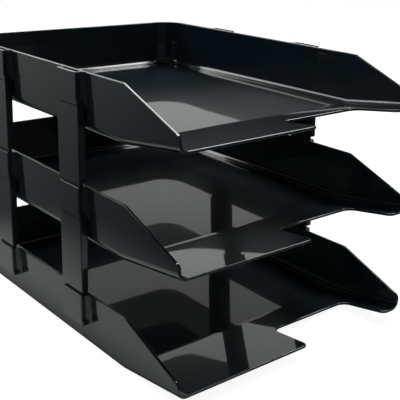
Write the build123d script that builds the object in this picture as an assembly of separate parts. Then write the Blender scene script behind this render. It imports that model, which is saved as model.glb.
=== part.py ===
from build123d import *
import os

# A stack of three open-front letter trays. Flat upright risers carry each tray
# on the one below: four under the middle tray and four under the top tray.
# Every tray is one thin moulding: a floor with an upswept front, three walls,
# and four small pockets on its side walls that take the ends of the risers.
#
# Frame: X to the right, Y to the back, Z up. While it is modelled, a tray has
# its front edge at Y = 0 and its underside at Z = 0. The finished stack is
# centred on X and Y, with Z = 0 on the table.

# ------------------------------------------------------------------ sizes, mm

# The tray shell
TRAY_WIDTH = 255.0          # over the side walls, at the rim
TRAY_DEPTH = 365.0
WALL_HEIGHT = 50.0
WALL_LEAN = 1.2             # each wall stands this much further out at the rim
WALL_THICKNESS = 2.6
FLOOR_THICKNESS = 2.4
BACK_CORNER_RADIUS = 28.0
FOOT_RADIUS = 8.5           # outside, where the walls turn into the floor
INNER_FOOT_RADIUS = 6.5     # inside, along the same edge
RIM_RADIUS = 0.8
LIP_RADIUS = 0.9
SLOPE_KINK_RADIUS = 4.0     # where the sloping front edge turns into the rim

# The upswept front
RAMP_LENGTH = 78.0          # from the front edge back to the crease
RAMP_RISE = 10.2
CREASE_RADIUS = 30.0
SLOPE_TOP_Y = 70.0          # where the side wall's sloping front edge meets the rim
SLOPE_FRONT_HEIGHT = 23.5   # how high it still is at the front edge
NOSE_LENGTH = 4.0           # the wall's front end rounds down over this length,
NOSE_FOOT_HEIGHT = 18.0     # to this height at the front edge,
NOSE_MIDDLE = (1.2, 22.4)   # through this point (Y, Z) on the way

# The finger recess in the front edge, with the tongue on its left
TONGUE_FRONT_X = 9.5
TONGUE_ROOT_X = 11.5
RECESS_DEPTH = 47.0
STRIP_ROOT_X = 102.3
STRIP_FRONT_X = 107.0
TONGUE_CORNER_RADIUS = 6.0
RECESS_CORNER_RADIUS = 9.0
STRIP_CORNER_RADIUS = 6.0

# The riser pockets on the side walls
POCKET_CENTRES_Y = {"front": 142.0, "rear": 272.0}
POCKET_LENGTH = 31.0
POCKET_HEIGHT = 26.5        # from the rim down to the flange's underside
POCKET_REACH = 7.2          # how far it stands out from the wall
POCKET_WALL = 2.2
POCKET_WEB = 2.5            # the floor between the upper and the lower slot
SLOT_WIDTH = 3.8
FLANGE_HEIGHT = 3.8
FLANGE_OVERHANG = 1.6       # past each end of the pocket
POCKET_BLEND_RADIUS = 5.5   # where the pocket's ends run into the wall
POCKET_CORNER_RADIUS = 1.2
POCKET_RIM_RADIUS = 0.6
POCKET_RIM_START = 0.3      # the rim's rounding begins this far outside the wall

# The risers
STACK_PITCH = 95.0          # from one tray's floor to the next
RISER_WIDTH = 33.5
RISER_TOP_THICKNESS = 6.8
RISER_FOOT_THICKNESS = 6.0
RISER_FOOT_GAP = 3.6        # the shoulder stays this far above the rim below
RISER_HEAD_GAP = 0.8        # and this far under the flange above
RISER_SETBACK = 0.4         # behind the pocket's outer face
RISER_EDGE_RADIUS = 0.8
TONGUE_CLEARANCE = 0.3      # all round, inside a slot

# ------------------------------------------------------------- worked-out sizes

HALF_WIDTH = TRAY_WIDTH / 2
FOOT_HALF_WIDTH = HALF_WIDTH - WALL_LEAN
RAMP_SLOPE = RAMP_RISE / RAMP_LENGTH
LIP_HEIGHT = RAMP_RISE + FLOOR_THICKNESS
POCKET_WALL_X = HALF_WIDTH - WALL_LEAN * POCKET_HEIGHT / WALL_HEIGHT
POCKET_ROOT_X = HALF_WIDTH - WALL_THICKNESS / 2
POCKET_FACE_X = HALF_WIDTH + POCKET_REACH
SLOT_OUTER_X = POCKET_FACE_X - POCKET_WALL
SLOT_CENTRE_X = SLOT_OUTER_X - SLOT_WIDTH / 2
SLOT_LENGTH = POCKET_LENGTH - 2 * POCKET_WALL
POCKET_BOTTOM_Z = WALL_HEIGHT - POCKET_HEIGHT
SLOT_DEPTH = (POCKET_HEIGHT - POCKET_WEB) / 2
TONGUE_LENGTH = SLOT_LENGTH - 2 * TONGUE_CLEARANCE
TONGUE_THICKNESS = SLOT_WIDTH - 2 * TONGUE_CLEARANCE
RISER_LENGTH = STACK_PITCH - POCKET_HEIGHT - RISER_FOOT_GAP - RISER_HEAD_GAP
RISER_OUTER_X = POCKET_FACE_X - RISER_SETBACK
OVERSHOOT = 40.0            # how far the cutting shapes reach past the tray


# ------------------------------------------------------------------- the tray

def wall_block(inset):
    """The space inside the tray's walls, which lean out towards the rim.

    An inset of zero gives the outside of the walls. The block runs past the
    front edge and past the rim, where the other shapes trim it.
    """
    corner_radius = BACK_CORNER_RADIUS - inset
    height = WALL_HEIGHT + OVERSHOOT
    lean_per_height = WALL_LEAN / WALL_HEIGHT
    outlines = []
    for z in (-OVERSHOOT, height):
        grow = lean_per_height * z - inset
        half_width = FOOT_HALF_WIDTH + grow
        back = TRAY_DEPTH - WALL_LEAN + grow
        front = -OVERSHOOT
        outline = Polygon(
            (-half_width, front),
            (half_width, front),
            (half_width, back),
            (-half_width, back),
            align=None,
        )
        back_corners = outline.vertices().group_by(Axis.Y)[-1]
        outline = fillet(back_corners, corner_radius)
        outlines.append(Plane.XY.offset(z) * outline)
    return loft(outlines)


def above_the_floor(lift):
    """Everything above the floor and ramp, from their underside plus a lift."""
    front = -OVERSHOOT
    front_z = RAMP_RISE + RAMP_SLOPE * OVERSHOOT + lift
    back = TRAY_DEPTH + OVERSHOOT
    top = WALL_HEIGHT + OVERSHOOT / 2
    outline = Polygon(
        (front, front_z),
        (RAMP_LENGTH, lift),
        (back, lift),
        (back, top),
        (front, top),
        align=None,
    )
    crease = outline.vertices().sort_by_distance((RAMP_LENGTH, lift))[0]
    outline = fillet(crease, CREASE_RADIUS)
    profile = Plane.YZ.offset(-TRAY_WIDTH) * outline
    return extrude(profile, amount=2 * TRAY_WIDTH, dir=(1, 0, 0))


def dished_block(inset, lift, foot_radius):
    """Walls and floor together as one solid, with its lower edge rounded."""
    block = wall_block(inset) & above_the_floor(lift)
    ramp_and_floor = block.faces().filter_by(lambda face: face.normal_at().Z < -0.9)
    lower_edges = []
    for face in ramp_and_floor:
        for edge in face.edges():
            across = abs(edge.tangent_at(0.5).X) > 0.99
            at_back = edge.center().Y > TRAY_DEPTH / 2
            if not across or at_back:
                lower_edges.append(edge)
    return fillet(lower_edges, foot_radius)


def front_trim():
    """What is cut away in plan to leave the straight front and its recess."""
    far = HALF_WIDTH + OVERSHOOT
    outline = Polygon(
        (-far, -2 * OVERSHOOT),
        (-far, 0),
        (TONGUE_FRONT_X, 0),
        (TONGUE_ROOT_X, RECESS_DEPTH),
        (STRIP_ROOT_X, RECESS_DEPTH),
        (STRIP_FRONT_X, 0),
        (far, 0),
        (far, -2 * OVERSHOOT),
        align=None,
    )
    rounded = [
        ((TONGUE_FRONT_X, 0), TONGUE_CORNER_RADIUS),
        ((TONGUE_ROOT_X, RECESS_DEPTH), RECESS_CORNER_RADIUS),
        ((STRIP_ROOT_X, RECESS_DEPTH), RECESS_CORNER_RADIUS),
        ((STRIP_FRONT_X, 0), STRIP_CORNER_RADIUS),
    ]
    for place, radius in rounded:
        vertex = outline.vertices().sort_by_distance((place[0], place[1], 0))[0]
        outline = fillet(vertex, radius)
    base = Plane.XY.offset(-OVERSHOOT) * outline
    return extrude(base, amount=3 * WALL_HEIGHT, dir=(0, 0, 1))


def wall_trim():
    """What is cut away in side view: above the rim and the sloping wall fronts."""
    far = 3 * OVERSHOOT
    outline = Polygon(
        (-far, SLOPE_FRONT_HEIGHT),
        (0, SLOPE_FRONT_HEIGHT),
        (SLOPE_TOP_Y, WALL_HEIGHT),
        (TRAY_DEPTH + far, WALL_HEIGHT),
        (TRAY_DEPTH + far, WALL_HEIGHT + far),
        (-far, WALL_HEIGHT + far),
        align=None,
    )
    kink = outline.vertices().sort_by_distance((SLOPE_TOP_Y, WALL_HEIGHT))[0]
    outline = fillet(kink, SLOPE_KINK_RADIUS)
    profile = Plane.YZ.offset(-TRAY_WIDTH) * outline
    return extrude(profile, amount=2 * TRAY_WIDTH, dir=(1, 0, 0))


def nose_trim():
    """What is cut away in side view to round down the front ends of the walls."""
    slope = (WALL_HEIGHT - SLOPE_FRONT_HEIGHT) / SLOPE_TOP_Y
    start = (NOSE_LENGTH, SLOPE_FRONT_HEIGHT + slope * NOSE_LENGTH)
    end = (0, NOSE_FOOT_HEIGHT)
    bend = ThreePointArc(start, NOSE_MIDDLE, end)
    rest = Polyline(
        end,
        (-OVERSHOOT, NOSE_FOOT_HEIGHT),
        (-OVERSHOOT, WALL_HEIGHT),
        (NOSE_LENGTH, WALL_HEIGHT),
        start,
    )
    profile = Plane.YZ.offset(-TRAY_WIDTH) * make_face(bend + rest)
    return extrude(profile, amount=2 * TRAY_WIDTH, dir=(1, 0, 0))


def rim_edges(tray_shell):
    """The inner and outer edges of the rim and of its slopes."""
    seen = {}
    for face in tray_shell.faces():
        faces_up = face.normal_at().Z > 0.5
        above_lip = face.center().Z > LIP_HEIGHT + FOOT_RADIUS
        if not (faces_up and above_lip):
            continue
        for edge in face.edges():
            middle = edge.center()
            key = (round(middle.X, 2), round(middle.Y, 2), round(middle.Z, 2))
            seen.setdefault(key, []).append(edge)
    outline = [found[0] for found in seen.values() if len(found) == 1]
    return [edge for edge in outline if edge.center().Y > NOSE_LENGTH]


def lip_edges(tray_shell):
    """The upper and lower edges all along the front: tongue, recess and strip."""
    found = []
    for edge in tray_shell.edges():
        middle = edge.center()
        in_front = middle.Y < RECESS_DEPTH + WALL_THICKNESS
        in_front = in_front and middle.Z < LIP_HEIGHT + RIM_RADIUS
        on_the_ramp = abs(middle.X) < FOOT_HALF_WIDTH - FOOT_RADIUS
        upright = abs(edge.tangent_at(0.5).Z) > 0.5
        if in_front and on_the_ramp and not upright:
            found.append(edge)
    return found


def shell():
    """The bare moulding, before the pockets."""
    outside = dished_block(0, 0, FOOT_RADIUS)
    inside = dished_block(WALL_THICKNESS, FLOOR_THICKNESS, INNER_FOOT_RADIUS)
    bare = outside - inside - wall_trim() - front_trim()
    bare = fillet(lip_edges(bare), LIP_RADIUS)
    bare -= nose_trim()
    return fillet(rim_edges(bare), RIM_RADIUS)


# ---------------------------------------------------------- the riser pockets

def riser_pocket():
    """One pocket's outside, on the right-hand wall and centred on Y = 0.

    It is a box against the wall, with hollow blends where its ends run into
    the wall, and a low flange round its foot, just above the riser's shoulder.
    """
    half_length = POCKET_LENGTH / 2
    blend_end = half_length + POCKET_BLEND_RADIUS + POCKET_RIM_RADIUS
    outline = Polygon(
        (POCKET_ROOT_X, -blend_end),
        (POCKET_WALL_X, -blend_end),
        (POCKET_WALL_X, -half_length),
        (POCKET_FACE_X, -half_length),
        (POCKET_FACE_X, half_length),
        (POCKET_WALL_X, half_length),
        (POCKET_WALL_X, blend_end),
        (POCKET_ROOT_X, blend_end),
        align=None,
    )
    for end in (-half_length, half_length):
        inner = outline.vertices().sort_by_distance((POCKET_WALL_X, end, 0))[0]
        outline = fillet(inner, POCKET_BLEND_RADIUS)
        outer = outline.vertices().sort_by_distance((POCKET_FACE_X, end, 0))[0]
        outline = fillet(outer, POCKET_CORNER_RADIUS)
    base = Plane.XY.offset(POCKET_BOTTOM_Z) * outline
    body = extrude(base, amount=POCKET_HEIGHT, dir=(0, 0, 1))
    top_face = body.faces().sort_by(Axis.Z)[-1]
    clear_of_wall = POCKET_WALL_X + POCKET_RIM_START
    rim = [edge for edge in top_face.edges() if edge.center().X > clear_of_wall]
    body = fillet(rim, POCKET_RIM_RADIUS)

    flange_reach = POCKET_FACE_X - POCKET_ROOT_X
    flange_length = POCKET_LENGTH + 2 * FLANGE_OVERHANG
    flange = Box(flange_reach, flange_length, FLANGE_HEIGHT)
    outer_corners = flange.edges().filter_by(Axis.Z).group_by(Axis.X)[-1]
    flange = fillet(outer_corners, POCKET_CORNER_RADIUS)
    flange_x = (POCKET_FACE_X + POCKET_ROOT_X) / 2
    flange_z = POCKET_BOTTOM_Z + FLANGE_HEIGHT / 2
    return body + Pos(flange_x, 0, flange_z) * flange


def pocket_slots():
    """The upper and lower slot of that pocket, with the web left between."""
    slot = Box(SLOT_WIDTH, SLOT_LENGTH, SLOT_DEPTH)
    upper = Pos(SLOT_CENTRE_X, 0, WALL_HEIGHT - SLOT_DEPTH / 2) * slot
    lower = Pos(SLOT_CENTRE_X, 0, POCKET_BOTTOM_Z + SLOT_DEPTH / 2) * slot
    return upper + lower


def on_each_wall(shape):
    """A right-hand wall shape, repeated at the four pocket places."""
    mirrored = mirror(shape, Plane.YZ)
    copies = []
    for centre_y in POCKET_CENTRES_Y.values():
        copies.append(Pos(0, centre_y, 0) * shape)
        copies.append(Pos(0, centre_y, 0) * mirrored)
    return copies


def letter_tray():
    """One whole tray, in its own frame."""
    tray = shell()
    for pocket in on_each_wall(riser_pocket()):
        tray += pocket
    for slots in on_each_wall(pocket_slots()):
        tray -= slots
    return tray


# ----------------------------------------------------------------- the risers

def riser():
    """One riser, on the right-hand side, above a tray that stands at Z = 0.

    It is a flat bar that thins towards its foot. A tongue at its foot stands
    on the web of the pocket below, and the tray above rests with its own web
    on the tongue at the bar's top.
    """
    foot_z = WALL_HEIGHT + RISER_FOOT_GAP
    top_z = foot_z + RISER_LENGTH
    profile = Polygon(
        (RISER_OUTER_X - RISER_FOOT_THICKNESS, foot_z),
        (RISER_OUTER_X, foot_z),
        (RISER_OUTER_X, top_z),
        (RISER_OUTER_X - RISER_TOP_THICKNESS, top_z),
        align=None,
    )
    side_plane = Plane.XZ.offset(-RISER_WIDTH / 2)
    bar = extrude(side_plane * profile, amount=RISER_WIDTH)
    long_edges = [edge for edge in bar.edges() if abs(edge.tangent_at(0.5).Z) > 0.9]
    bar = fillet(long_edges, RISER_EDGE_RADIUS)

    web_top = WALL_HEIGHT - SLOT_DEPTH
    foot_tongue_height = foot_z - web_top
    top_tongue_height = SLOT_DEPTH + RISER_HEAD_GAP
    foot_tongue = Box(TONGUE_THICKNESS, TONGUE_LENGTH, foot_tongue_height)
    top_tongue = Box(TONGUE_THICKNESS, TONGUE_LENGTH, top_tongue_height)
    bar += Pos(SLOT_CENTRE_X, 0, web_top + foot_tongue_height / 2) * foot_tongue
    bar += Pos(SLOT_CENTRE_X, 0, top_z + top_tongue_height / 2) * top_tongue
    return bar


# ------------------------------------------------------------------ the stack

def stacked_nodes():
    """Every node of the stack by name, in the stack's own frame."""
    nodes = {}
    tray = Pos(0, -TRAY_DEPTH / 2, 0) * letter_tray()
    for level, name in enumerate(("bottom_tray", "middle_tray", "top_tray")):
        nodes[name] = Pos(0, 0, level * STACK_PITCH) * tray

    right_riser = Pos(0, -TRAY_DEPTH / 2, 0) * riser()
    sides = {"right": right_riser, "left": mirror(right_riser, Plane.YZ)}
    for level, tier in enumerate(("lower", "upper")):
        for place, centre_y in POCKET_CENTRES_Y.items():
            for side, bar in sides.items():
                name = f"{tier}_riser_{place}_{side}"
                nodes[name] = Pos(0, centre_y, level * STACK_PITCH) * bar
    return nodes


os.makedirs("parts", exist_ok=True)
for node_name, node in stacked_nodes().items():
    export_step(node, f"parts/{node_name}.step")
    print(node_name, "solids", len(node.solids()), "volume", round(node.volume))
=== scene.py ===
import math

import bpy
from mathutils import Euler, Matrix, Vector

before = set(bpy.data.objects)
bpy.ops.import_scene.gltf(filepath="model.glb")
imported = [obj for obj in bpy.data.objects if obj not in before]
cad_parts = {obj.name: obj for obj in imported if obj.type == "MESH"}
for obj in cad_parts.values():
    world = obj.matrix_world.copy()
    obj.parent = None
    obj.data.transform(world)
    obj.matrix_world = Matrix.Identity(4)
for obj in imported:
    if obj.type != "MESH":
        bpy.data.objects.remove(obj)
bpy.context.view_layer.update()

# ------------------------------------------------------------------ camera
# The viewpoint of a studio photograph: in front, to the left of the stack and
# a little above it, with the frame cropped off-centre out of a wider picture.
CAMERA_PLACE = (-0.4509, -0.6247, 0.3574)
CAMERA_HEADING = 40.57      # degrees from the +Y axis towards +X
CAMERA_DOWN = 14.53         # degrees below the horizon
CAMERA_ROLL = 1.40
FOCAL_PIXELS = 831.0
CENTRE_PIXEL = (240.35, 135.83)
IMAGE_PIXELS = 400.0

camera_data = bpy.data.cameras.new("camera")
camera_data.sensor_fit = "HORIZONTAL"
camera_data.sensor_width = 36.0
camera_data.lens = camera_data.sensor_width * FOCAL_PIXELS / IMAGE_PIXELS
camera_data.shift_x = 0.5 - CENTRE_PIXEL[0] / IMAGE_PIXELS
camera_data.shift_y = CENTRE_PIXEL[1] / IMAGE_PIXELS - 0.5
camera_data.clip_end = 50.0
camera = bpy.data.objects.new("camera", camera_data)
aim = Euler((math.radians(90 - CAMERA_DOWN), 0, math.radians(-CAMERA_HEADING))).to_matrix()
aim = aim @ Matrix.Rotation(math.radians(CAMERA_ROLL), 3, "Z")
camera.matrix_world = Matrix.Translation(CAMERA_PLACE) @ aim.to_4x4()
bpy.context.scene.collection.objects.link(camera)
bpy.context.scene.camera = camera

# ------------------------------------------------------------------ table
# A plain white table top that runs out of sight and keeps a trace of the stack's
# shadow. What gloss mirrors of it is painted light: a painted glow close to the stack in place of
# the lamps' light, painted shade under the stack itself, and a painted falloff that dims further out.
TABLE_SIZE = 14.0
TABLE_DROP = 0.0002         # keeps the table clear of the bottom tray's underside
TABLE_COLOUR = (0.82, 0.82, 0.82, 1)
TABLE_SEEN = 0.92           # what the camera sees of it in full shadow
SHADOW_COLOUR = (0.26, 0.26, 0.26, 1)
STACK_HALF = (0.1275, 0.1825, 0.0)
# Painted light seen only in gloss: a painted glow near the stack, painted shade under the stack's footprint,
# and a painted falloff from DIM_COLOUR to FAR_COLOUR towards the backdrop.
PAINTED_GLOW_COLOUR = (0.52, 0.540, 0.52, 1)
PAINTED_GLOW_END = (0.045, 0.17)    # metres from the stack between which the glow dies away
PAINTED_GLOW_START = 0.03           # metres from the stack by which it is full, clear of the shade
PAINTED_GLOW_START_CURVE = 0.5      # under 1: it comes up fast, then levels off
BACK_WAY = (0.50, 0.87, 0.0)    # level direction from the stack towards the backdrop
DIM_COLOUR = (0.045, 0.053, 0.050, 1)
FAR_COLOUR = (0.40, 0.45, 0.42, 1)
FAR_RANGE = (-0.1, 1.1)     # metres along BACK_WAY over which the table brightens


def put(tree, kind, inputs=None, **settings):
    """Adds one shader node, with its settings and the values or links of its inputs."""
    node = tree.nodes.new(kind)
    for name, value in settings.items():
        setattr(node, name, value)
    for name, value in (inputs or {}).items():
        if isinstance(value, bpy.types.NodeSocket):
            tree.links.new(value, node.inputs[name])
        else:
            node.inputs[name].default_value = value
    return node


def reckon(tree, operation, first, second):
    """One sum on two numbers, of which either may be a socket."""
    return put(tree, "ShaderNodeMath", {0: first, 1: second}, operation=operation).outputs[0]


def blend(tree, share, first, second):
    """The colour that lies this share of the way from the first to the second."""
    # A Mix node's two colours are its inputs 6 and 7, and the colour it gives is output 2.
    return put(tree, "ShaderNodeMix", {0: share, 6: first, 7: second}, data_type="RGBA").outputs[2]


def choose(tree, share, first, second):
    """The first shader where the share is 0, and the second where it is 1."""
    return put(tree, "ShaderNodeMixShader", {0: share, 1: first, 2: second}).outputs[0]


bpy.ops.object.select_all(action="DESELECT")
bpy.ops.mesh.primitive_plane_add(size=TABLE_SIZE, location=(0, 0, -TABLE_DROP))
table = bpy.context.active_object
table.name = "table"
table_material = bpy.data.materials.new("white_table")
table_material.use_nodes = True
tree = table_material.node_tree
tree.nodes.clear()
place = put(tree, "ShaderNodeTexCoord").outputs["Object"]
aside = put(tree, "ShaderNodeVectorMath", {0: place}, operation="ABSOLUTE").outputs[0]
aside = put(tree, "ShaderNodeVectorMath", {0: aside, 1: STACK_HALF}, operation="SUBTRACT").outputs[0]
aside = put(tree, "ShaderNodeVectorMath", {0: aside, 1: (0, 0, 0)}, operation="MAXIMUM").outputs[0]
away = put(tree, "ShaderNodeVectorMath", {0: aside}, operation="LENGTH").outputs["Value"]
# The painted glow near the stack, cut down to painted shade under the stack's footprint.
painted_glow_near = put(tree, "ShaderNodeMapRange", {"Value": away, "From Min": PAINTED_GLOW_END[0], "From Max": PAINTED_GLOW_END[1],
                                        "To Min": 1.0, "To Max": 0.0},
           interpolation_type="SMOOTHSTEP").outputs[0]
clear = put(tree, "ShaderNodeMapRange", {"Value": away, "From Max": PAINTED_GLOW_START}).outputs[0]
clear = reckon(tree, "POWER", clear, PAINTED_GLOW_START_CURVE)
painted_glow_near = reckon(tree, "MULTIPLY", painted_glow_near, clear)
along = put(tree, "ShaderNodeVectorMath", {0: place, 1: BACK_WAY}, operation="DOT_PRODUCT").outputs["Value"]
far = put(tree, "ShaderNodeMapRange", {"Value": along, "From Min": FAR_RANGE[0],
                                       "From Max": FAR_RANGE[1]}).outputs[0]
painted_glow = blend(tree, painted_glow_near, blend(tree, far, DIM_COLOUR, FAR_COLOUR), PAINTED_GLOW_COLOUR)
# The table glows with this painted light for glossy rays only.
painted_glow_seen_in_gloss = put(tree, "ShaderNodeEmission", {"Color": painted_glow}).outputs[0]
plain = put(tree, "ShaderNodeBsdfDiffuse", {"Color": TABLE_COLOUR}).outputs[0]
white = put(tree, "ShaderNodeEmission", {"Strength": TABLE_SEEN}).outputs[0]
shadow = put(tree, "ShaderNodeBsdfDiffuse", {"Color": SHADOW_COLOUR}).outputs[0]
seen = put(tree, "ShaderNodeAddShader", {0: white, 1: shadow}).outputs[0]
rays = put(tree, "ShaderNodeLightPath").outputs
surface = choose(tree, rays["Is Camera Ray"], choose(tree, rays["Is Glossy Ray"], plain, painted_glow_seen_in_gloss), seen)
put(tree, "ShaderNodeOutputMaterial", {"Surface": surface})
table.data.materials.append(table_material)

# ------------------------------------------------------------------ studio
# A white room with even fill from all round, brightest low behind the stack and dim
# on the camera's side, and four soft boxes above: two on the right, one behind, one left.
FILL = 0.26                 # strength of the even light
WHITE = (1, 1, 1, 1)
# How bright gloss mirrors the room: by the sine of the height, then by the way round.
ROOM_LEVELS = ((0.0, 0.74), (0.20, 0.71), (0.36, 0.44), (0.50, 0.36), (0.75, 0.25))
ROOM_TINT = (0.965, 1.02, 0.965)
ROOM_BACK_WAY = (0.66, 0.75, 0.0)
ROOM_TURN = (0.1, 0.7)      # cosines to ROOM_BACK_WAY between which the room brightens
FRONT_LEVEL = 0.17          # share of that brightness on the camera's side
SOFT_BOXES = (              # name, place, width, height, watts
    ("soft_box_right", (0.95, -0.12, 1.36), 0.60, 0.50, 12.5),
    ("soft_box_back_right", (0.76, 0.66, 1.26), 0.60, 0.50, 7.5),
    ("soft_box_behind", (-0.42, 1.20, 0.98), 1.35, 0.40, 7.6),
    ("soft_box_left", (-0.88, 0.62, 1.25), 0.50, 0.50, 4.0),
)
BOX_AIM = (0, 0, 0.17)

world = bpy.data.worlds.new("white_studio")
bpy.context.scene.world = world
world.use_nodes = True
tree = world.node_tree
tree.nodes.clear()
way = put(tree, "ShaderNodeTexCoord").outputs["Generated"]
height = put(tree, "ShaderNodeSeparateXYZ", {0: way}).outputs["Z"]
sky = put(tree, "ShaderNodeValToRGB", {"Fac": height})
while len(sky.color_ramp.elements) < len(ROOM_LEVELS):
    sky.color_ramp.elements.new(1.0)
for element, (up, level) in zip(sky.color_ramp.elements, ROOM_LEVELS):
    element.position = up
    element.color = (level * ROOM_TINT[0], level * ROOM_TINT[1], level * ROOM_TINT[2], 1)
back = put(tree, "ShaderNodeVectorMath", {0: way, 1: ROOM_BACK_WAY}, operation="DOT_PRODUCT").outputs["Value"]
back = put(tree, "ShaderNodeMapRange", {"Value": back, "From Min": ROOM_TURN[0], "From Max": ROOM_TURN[1],
                                        "To Min": FRONT_LEVEL}).outputs[0]
level = put(tree, "ShaderNodeVectorMath", {0: sky.outputs[0], 1: back}, operation="MULTIPLY").outputs[0]
fill = put(tree, "ShaderNodeBackground", {"Color": WHITE, "Strength": FILL}).outputs[0]
backdrop = put(tree, "ShaderNodeBackground", {"Color": WHITE}).outputs[0]
room = put(tree, "ShaderNodeBackground", {"Color": level}).outputs[0]
rays = put(tree, "ShaderNodeLightPath").outputs
surface = choose(tree, rays["Is Camera Ray"], choose(tree, rays["Is Glossy Ray"], fill, room), backdrop)
put(tree, "ShaderNodeOutputWorld", {"Surface": surface})

for name, where, width, height, watts in SOFT_BOXES:
    bpy.ops.object.light_add(type="AREA", location=where)
    lamp = bpy.context.active_object
    lamp.name = name
    lamp.data.shape = "RECTANGLE"
    lamp.data.size = width
    lamp.data.size_y = height
    lamp.data.energy = watts
    lamp.rotation_euler = (Vector(BOX_AIM) - Vector(where)).to_track_quat("-Z", "Y").to_euler()

bpy.context.scene.view_settings.view_transform = "Standard"

# ------------------------------------------------------------------ trays
# Three identical letter trays, each one injection moulding in glossy black
# polystyrene with a mirror-like skin, the slow ripple of a large flat moulding
# and a little dust lying on what faces up.
TRAY_BLACK = (0.0037, 0.0090, 0.0129, 1)
DUST_COLOUR = (0.075, 0.078, 0.080, 1)
PLASTIC_IOR = 1.50
HAZE_ROUGHNESS = 0.26
FLOOR_FACING = 0.9          # the floor and its ramp face upwards by more than this


def group_of(name, inputs, outputs):
    """A shader node group with named inputs (and their defaults) and outputs."""
    group = bpy.data.node_groups.new(name, "ShaderNodeTree")
    for label, value in inputs.items():
        socket = group.interface.new_socket(label, in_out="INPUT", socket_type="NodeSocketFloat")
        socket.default_value = value
    for label in outputs:
        group.interface.new_socket(label, in_out="OUTPUT", socket_type="NodeSocketFloat")
    return group, group.nodes.new("NodeGroupInput").outputs, group.nodes.new("NodeGroupOutput").inputs


def facing_up(tree):
    """How far the surface faces upwards: 1 on a level floor, 0 on an upright wall."""
    normal = put(tree, "ShaderNodeNewGeometry").outputs["Normal"]
    return put(tree, "ShaderNodeSeparateXYZ", {0: normal}).outputs["Z"]


# The relief of a moulded skin, in metres: the slow swells that cooling leaves, a fine
# grain, and a slight bow of the floor, level near the back wall and rising to the front.
relief, given, result = group_of(
    "moulding_relief",
    {"Swells per metre": 14.0, "Swell depth": 0.0001, "Grain per metre": 420.0, "Grain share": 0.012,
     "Sag": 0.0, "Sag middle": 0.15},
    ["Height"])
spot = put(relief, "ShaderNodeTexCoord").outputs["Object"]
swell = put(relief, "ShaderNodeTexNoise", {"Vector": spot, "Scale": given["Swells per metre"],
                                           "Detail": 1.0, "Roughness": 0.4}).outputs["Fac"]
grain = put(relief, "ShaderNodeTexNoise", {"Vector": spot, "Scale": given["Grain per metre"],
                                           "Detail": 2.0}).outputs["Fac"]
grain = reckon(relief, "MULTIPLY", grain, given["Grain share"])
swell = reckon(relief, "ADD", swell, grain)
swell = reckon(relief, "MULTIPLY", swell, given["Swell depth"])
along = put(relief, "ShaderNodeSeparateXYZ", {0: spot}).outputs["Y"]
along = reckon(relief, "SUBTRACT", along, given["Sag middle"])
bow = reckon(relief, "MULTIPLY", along, along)
bow = reckon(relief, "MULTIPLY", bow, given["Sag"])
bow = reckon(relief, "MULTIPLY", bow, reckon(relief, "GREATER_THAN", facing_up(relief), FLOOR_FACING))
relief.links.new(reckon(relief, "ADD", swell, bow), result["Height"])

# Handling: a thin cloudy film from fingers, and dust on the faces that look up.
marks, given, result = group_of(
    "film_and_dust",
    {"Clouds per metre": 22.0, "Flecks per metre": 700.0, "Dust share": 0.3, "Film share": 0.03},
    ["Film", "Veil"])
spot = put(marks, "ShaderNodeTexCoord").outputs["Object"]
cloud = put(marks, "ShaderNodeTexNoise", {"Vector": spot, "Scale": given["Clouds per metre"],
                                          "Detail": 4.0, "Roughness": 0.6}).outputs["Fac"]
film = put(marks, "ShaderNodeMapRange", {"Value": cloud, "From Min": 0.35, "From Max": 0.70}).outputs[0]
fleck = put(marks, "ShaderNodeTexNoise", {"Vector": spot, "Scale": given["Flecks per metre"],
                                          "Detail": 3.0, "Roughness": 0.7}).outputs["Fac"]
fleck = put(marks, "ShaderNodeMapRange", {"Value": fleck, "From Min": 0.45, "From Max": 0.75}).outputs[0]
settled = put(marks, "ShaderNodeMapRange", {"Value": facing_up(marks), "From Min": 0.3,
                                            "From Max": 0.95}).outputs[0]
dust = reckon(marks, "MULTIPLY", fleck, settled)
dust = reckon(marks, "MULTIPLY", dust, given["Dust share"])
thin = reckon(marks, "MULTIPLY", film, given["Film share"])
marks.links.new(film, result["Film"])
marks.links.new(reckon(marks, "ADD", dust, thin), result["Veil"])

# Faint lengthwise streaks on the level floor, densest just behind the crease of the ramp and gone
# before the back wall: a trace of paper scuffs, and on the top tray mostly painted sheen of the overhead
# light.
scuffs_sheen_group, given, result = group_of(
    "scuffs_and_painted_sheen",
    {"Crease": -0.1045, "Full": -0.055, "Gone": 0.050, "Streaks per metre": 260.0, "Share": 0.3},
    ["Scuff"])
spot = put(scuffs_sheen_group, "ShaderNodeTexCoord").outputs["Object"]
drawn = put(scuffs_sheen_group, "ShaderNodeMapping", {"Vector": spot, "Scale": (1.0, 0.06, 1.0)}).outputs[0]
streak = put(scuffs_sheen_group, "ShaderNodeTexNoise", {"Vector": drawn, "Scale": given["Streaks per metre"],
                                            "Detail": 3.0}).outputs["Fac"]
streak = put(scuffs_sheen_group, "ShaderNodeMapRange", {"Value": streak, "From Min": 0.2, "From Max": 0.8,
                                            "To Min": 0.5}).outputs[0]
along = put(scuffs_sheen_group, "ShaderNodeSeparateXYZ", {0: spot}).outputs["Y"]
behind = reckon(scuffs_sheen_group, "GREATER_THAN", along, given["Crease"])
fade = put(scuffs_sheen_group, "ShaderNodeMapRange", {"Value": along, "From Min": given["Full"],
                                          "From Max": given["Gone"], "To Min": 1.0,
                                          "To Max": 0.0}).outputs[0]
level_floor = put(scuffs_sheen_group, "ShaderNodeMapRange", {"Value": facing_up(scuffs_sheen_group), "From Min": 0.96,
                                                 "From Max": 0.998}).outputs[0]
scuff_and_sheen = reckon(scuffs_sheen_group, "MULTIPLY", streak, behind)
scuff_and_sheen = reckon(scuffs_sheen_group, "MULTIPLY", scuff_and_sheen, fade)
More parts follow.
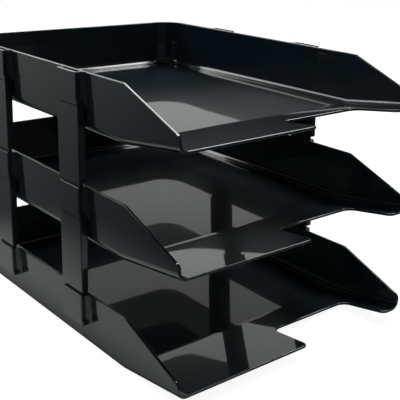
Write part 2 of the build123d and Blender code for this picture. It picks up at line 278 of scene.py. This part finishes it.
scuff_and_sheen = reckon(scuffs_sheen_group, "MULTIPLY", scuff_and_sheen, level_floor)
scuff_and_sheen = reckon(scuffs_sheen_group, "MULTIPLY", scuff_and_sheen, given["Share"])
scuffs_sheen_group.links.new(scuff_and_sheen, result["Scuff"])


def black_plastic(name, black, swells, swell_depth, skin_roughness, haze, dust_share, scuff_and_sheen_share, sag):
    """Glossy black moulded plastic: a mirror-like skin under a thin hazy film, paled by dust, scuffs and
    painted sheen.
    """
    material = bpy.data.materials.new(name)
    material.use_nodes = True
    tree = material.node_tree
    shader = tree.nodes["Principled BSDF"]
    worn = put(tree, "ShaderNodeGroup", node_tree=marks)
    worn.inputs["Dust share"].default_value = dust_share
    scuffs_and_sheen_node = put(tree, "ShaderNodeGroup", node_tree=scuffs_sheen_group)
    scuffs_and_sheen_node.inputs["Share"].default_value = scuff_and_sheen_share
    # The base colour is paled by dust, film, scuffs and the painted sheen of the overhead light.
    pale_dust_scuffs_and_sheen = reckon(tree, "ADD", worn.outputs["Veil"], scuffs_and_sheen_node.outputs["Scuff"])
    tree.links.new(blend(tree, pale_dust_scuffs_and_sheen, black, DUST_COLOUR), shader.inputs["Base Color"])
    gloss = put(tree, "ShaderNodeMapRange", {"Value": worn.outputs["Film"], "To Min": skin_roughness[0],
                                             "To Max": skin_roughness[1]}).outputs[0]
    tree.links.new(gloss, shader.inputs["Roughness"])
    moulded = put(tree, "ShaderNodeGroup", node_tree=relief)
    moulded.inputs["Swells per metre"].default_value = swells
    moulded.inputs["Swell depth"].default_value = swell_depth
    moulded.inputs["Sag"].default_value = sag
    bump = put(tree, "ShaderNodeBump", {"Height": moulded.outputs["Height"], "Distance": 1.0})
    tree.links.new(bump.outputs[0], shader.inputs["Normal"])
    shader.inputs["IOR"].default_value = PLASTIC_IOR
    shader.inputs["Coat Weight"].default_value = haze
    shader.inputs["Coat Roughness"].default_value = HAZE_ROUGHNESS
    shader.inputs["Coat IOR"].default_value = PLASTIC_IOR
    return material


TRAY_WEAR_AND_SHEEN = {               # share of scuffs, on the top tray mostly painted sheen, and how sharply the floor's sag curves, per metre
    "bottom_tray": (0.02, 0.045),
    "middle_tray": (0.02, 0.055),
    "top_tray": (0.72, 0.0),
}
for name, (scuff_and_sheen_share, sag) in TRAY_WEAR_AND_SHEEN.items():
    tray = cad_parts[name]
    tray.data.materials.clear()
    tray.data.materials.append(black_plastic(
        name + "_polystyrene", TRAY_BLACK, swells=14.0, swell_depth=0.00012, skin_roughness=(0.02, 0.05),
        haze=0.25, dust_share=0.03, scuff_and_sheen_share=scuff_and_sheen_share, sag=sag))

# ------------------------------------------------------------------ risers
# Eight flat bars that stand in the trays' side pockets and carry the tray above.
# Each is its own moulding in the same black plastic, a touch duller than the trays.
RISER_BLACK = (0.0039, 0.0092, 0.0131, 1)

riser_plastic = black_plastic(
    "riser_black_polystyrene", RISER_BLACK, swells=30.0, swell_depth=0.00005, skin_roughness=(0.03, 0.07),
    haze=0.30, dust_share=0.02, scuff_and_sheen_share=0.0, sag=0.0)
for name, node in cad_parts.items():
    if "riser" in name:
        node.data.materials.clear()
        node.data.materials.append(riser_plastic)
